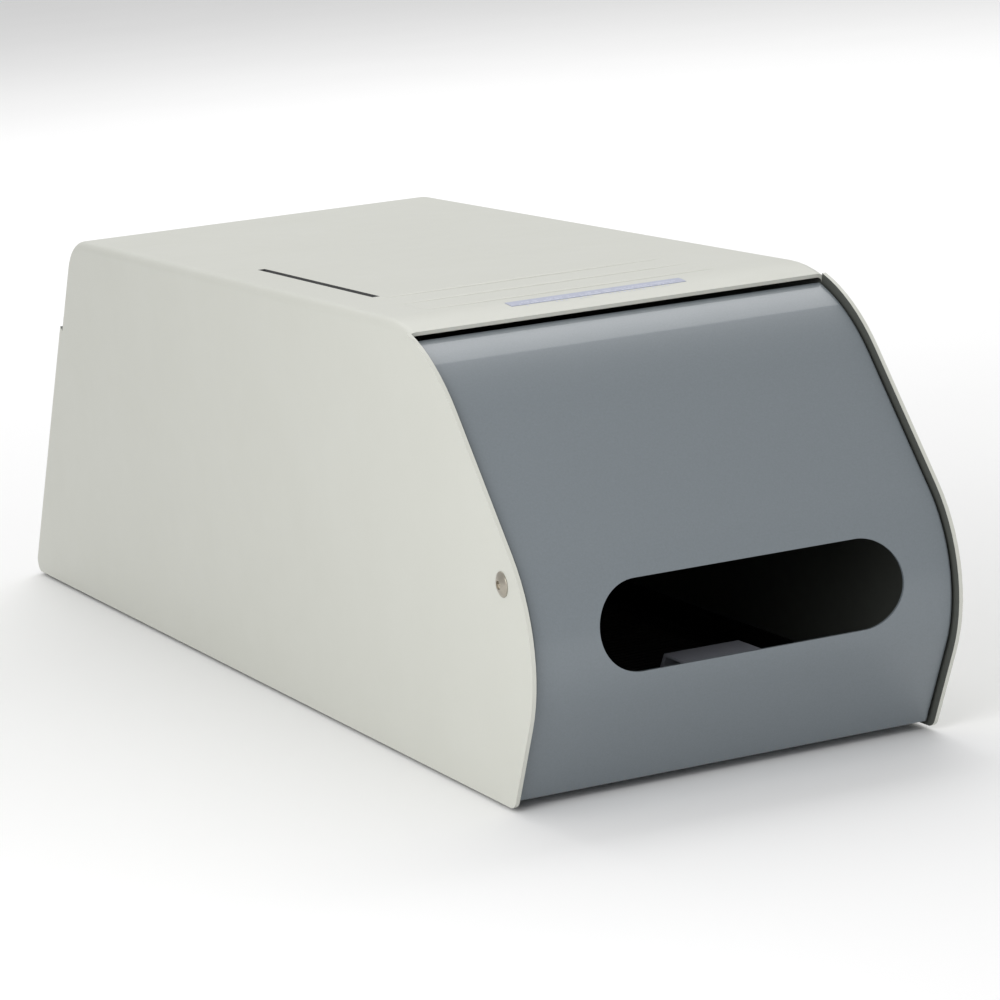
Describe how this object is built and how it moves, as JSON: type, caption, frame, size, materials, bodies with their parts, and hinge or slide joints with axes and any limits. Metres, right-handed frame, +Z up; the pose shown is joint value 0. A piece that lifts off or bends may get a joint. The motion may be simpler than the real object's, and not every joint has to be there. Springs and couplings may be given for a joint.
{
  "type": "book drop box",
  "caption": "Bench-top book return box: folded sheet-steel cover with a top slot and a curved front flap with a round-ended mouth, tipping forward on side screws.",
  "frame": {"origin": "centre of the bounding box at the underside of the rubber feet", "axes": "+Z up, +Y towards the rear, the flap faces -Y, +X to the right as seen from the front"},
  "size_m": [0.2294, 0.7678, 0.2227],
  "materials": {
    "cover_paint": "fine-textured satin powder coat, warm off-white",
    "flap_paint": "smooth gloss paint, mid grey",
    "inner_paint": "matt black paint on the inner sheet parts",
    "bracket_paint": "satin dark grey paint",
    "zinc": "zinc plated steel, slightly warm",
    "nylon": "black nylon",
    "rubber": "matt black rubber",
    "magnet": "dark ferrite in a plastic case",
    "label": "satin lavender film"
  },
  "bodies": {
    "housing": {"outer_cover": "cover_paint", "rear_panel": "cover_paint", "base_pan": "inner_paint", "slip_tray": "inner_paint", "landing_mat": "rubber", "instruction_label": "label", "catch_magnet": "magnet", "pivot_screw_left": "zinc", "pivot_screw_right": "zinc", "pivot_washer_left": "zinc", "pivot_washer_right": "zinc", "pivot_nut_left": "zinc", "pivot_nut_right": "zinc", "closed_stop_left": "rubber", "closed_stop_right": "rubber", "foot_front_left": "rubber", "foot_front_right": "rubber", "foot_rear_left": "rubber", "foot_rear_right": "rubber", "foot_screws": "zinc", "rear_screws": "zinc"},
    "flap": {"flap_panel": "flap_paint", "flap_bush_left": "nylon", "flap_bush_right": "nylon", "latch_bracket": "bracket_paint"}
  },
  "joints": [
    {"name": "flap_pivot", "type": "hinge", "parent": "housing", "child": "flap", "pos_m": [0, -0.35784, 0.1104], "axis": [1, 0, 0], "range_deg": [0, 75]}
  ]
}
